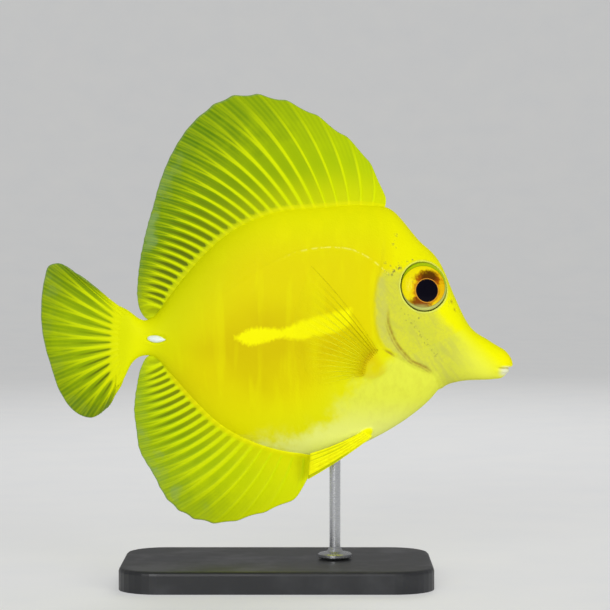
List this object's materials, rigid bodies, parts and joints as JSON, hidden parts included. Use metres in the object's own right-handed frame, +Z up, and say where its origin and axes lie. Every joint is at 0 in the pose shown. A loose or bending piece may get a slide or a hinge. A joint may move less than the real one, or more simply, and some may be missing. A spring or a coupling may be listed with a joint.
{
  "type": "yellow tang",
  "caption": "Life-size still model of a young yellow tang, swimming level with its fins spread, held over a flat base by one rod.",
  "frame": {"origin": "middle of the underside of the stand's base, at table height", "axes": "+X forward, towards the snout; +Y to the fish's left; +Z up"},
  "size_m": [0.0944, 0.038, 0.0975],
  "materials": {
    "skin": "moist, finely scaled yellow skin",
    "fin": "yellow fin rays with thinner, darker skin between them",
    "eye": "wet and clear over a dark pupil and a yellow iris",
    "blade": "white, satin",
    "stand_black": "satin black paint",
    "stand_steel": "brushed"
  },
  "bodies": {
    "root": {"head": "skin", "lower_jaw": "skin", "gill_cover_right": "skin", "gill_cover_left": "skin", "trunk": "skin", "tail_stalk": "skin", "dorsal_fin": "fin", "anal_fin": "fin", "tail_fin": "fin", "pectoral_fin_right": "fin", "pectoral_fin_left": "fin", "pelvic_fin_right": "fin", "pelvic_fin_left": "fin", "eye_right": "eye", "eye_left": "eye", "tail_blade_right": "blade", "tail_blade_left": "blade", "stand_base": "stand_black", "stand_rod": "stand_steel"}
  },
  "joints": []
}
